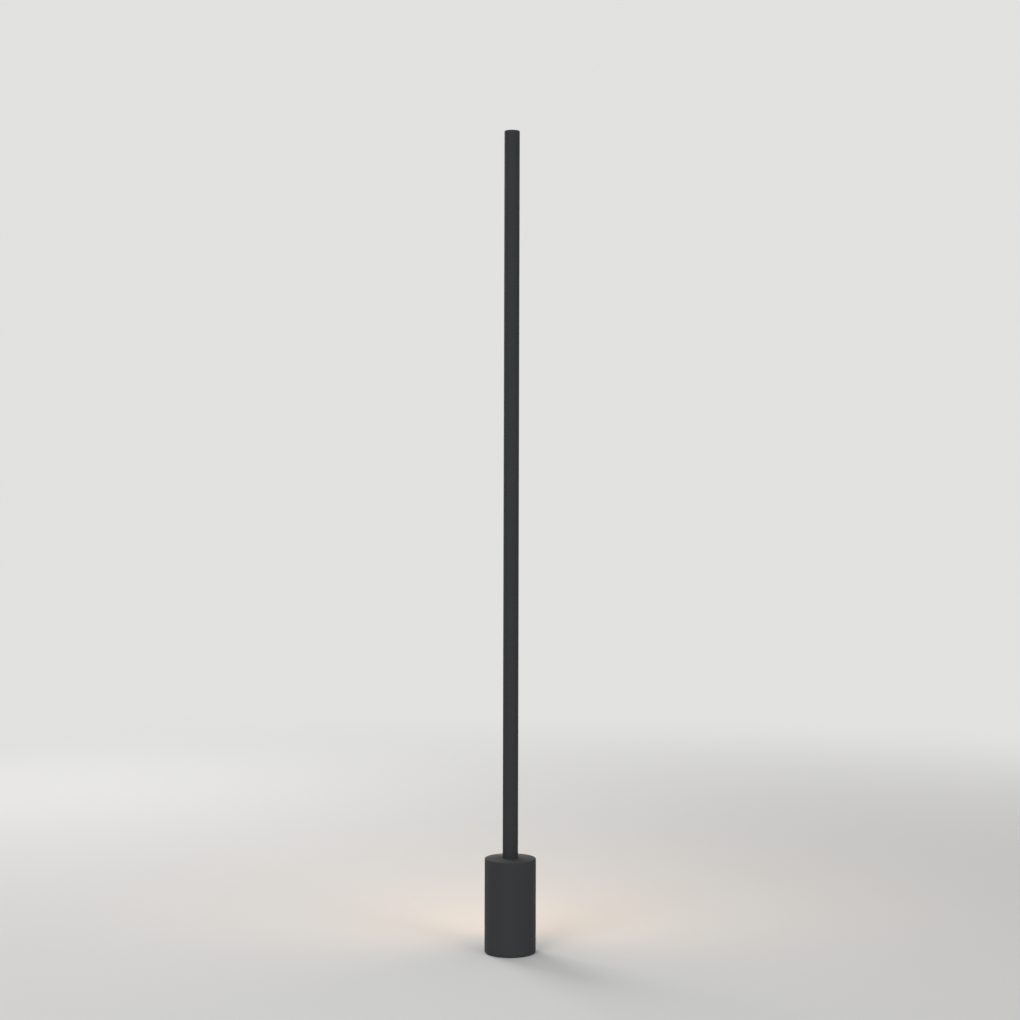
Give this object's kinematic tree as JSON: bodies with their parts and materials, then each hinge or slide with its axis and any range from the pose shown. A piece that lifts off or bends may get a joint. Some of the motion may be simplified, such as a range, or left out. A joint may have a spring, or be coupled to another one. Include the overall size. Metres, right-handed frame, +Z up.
{
  "type": "outdoor floor lamp",
  "caption": "Slim outdoor floor lamp: a round pole on a weighted cylindrical base lights the wall behind it through a long opal strip in the pole's rear.",
  "frame": {"origin": "middle of the rubber foot's lower face, on the ground and on the axis of base and pole", "axes": "+Z up along the pole; +Y to the rear, where the opal strip and the cable gland are; +X to the right as seen from the front"},
  "size_m": [0.1, 0.1202, 1.6],
  "materials": {
    "foot_rubber": "matte",
    "seal_rubber": "satin",
    "shell_coat": "matte",
    "pole_coat": "matte",
    "bare_aluminium": "satin",
    "plate_steel": "satin",
    "screw_steel": "satin",
    "ballast_iron": "matte",
    "gland_nylon": "satin",
    "driver_plastic": "matte",
    "block_plastic": "satin",
    "clamp_brass": "satin",
    "lead_blue": "satin",
    "lead_green": "satin",
    "lead_grey": "satin",
    "tape_white": "matte",
    "board_white": "satin",
    "chip_phosphor": "satin",
    "opal_cover": "satin"
  },
  "bodies": {
    "root": {"foot_pad": "foot_rubber", "base_plate": "plate_steel", "plate_screws": "screw_steel", "base_gasket": "seal_rubber", "base_shell": "shell_coat", "ballast": "ballast_iron", "ballast_screws": "screw_steel", "driver_bracket": "plate_steel", "bracket_screws": "screw_steel", "driver_case": "driver_plastic", "driver_screws": "screw_steel", "terminal_block": "block_plastic", "block_screws": "screw_steel", "terminal_screws": "clamp_brass", "supply_leads": "lead_blue", "earth_lead": "lead_green", "earth_lug": "screw_steel", "earth_screw": "screw_steel", "output_leads": "lead_grey", "gland_body": "gland_nylon", "gland_washer": "seal_rubber", "gland_seal": "seal_rubber", "gland_nut": "gland_nylon", "gland_locknut": "gland_nylon", "pole_foot": "bare_aluminium", "foot_screws": "screw_steel", "pole_nipple": "clamp_brass", "nipple_washer": "screw_steel", "nipple_nut": "screw_steel", "locating_pin": "screw_steel", "pole_o_ring": "seal_rubber", "pole_tube": "pole_coat", "thermal_tape": "tape_white", "led_boards": "board_white", "led_chips": "chip_phosphor", "board_screws": "screw_steel", "board_links": "block_plastic", "lead_connector": "block_plastic", "lead_grommet": "seal_rubber", "diffuser": "opal_cover", "top_gasket": "seal_rubber", "top_cap": "pole_coat", "cap_screws": "screw_steel"}
  },
  "joints": []
}
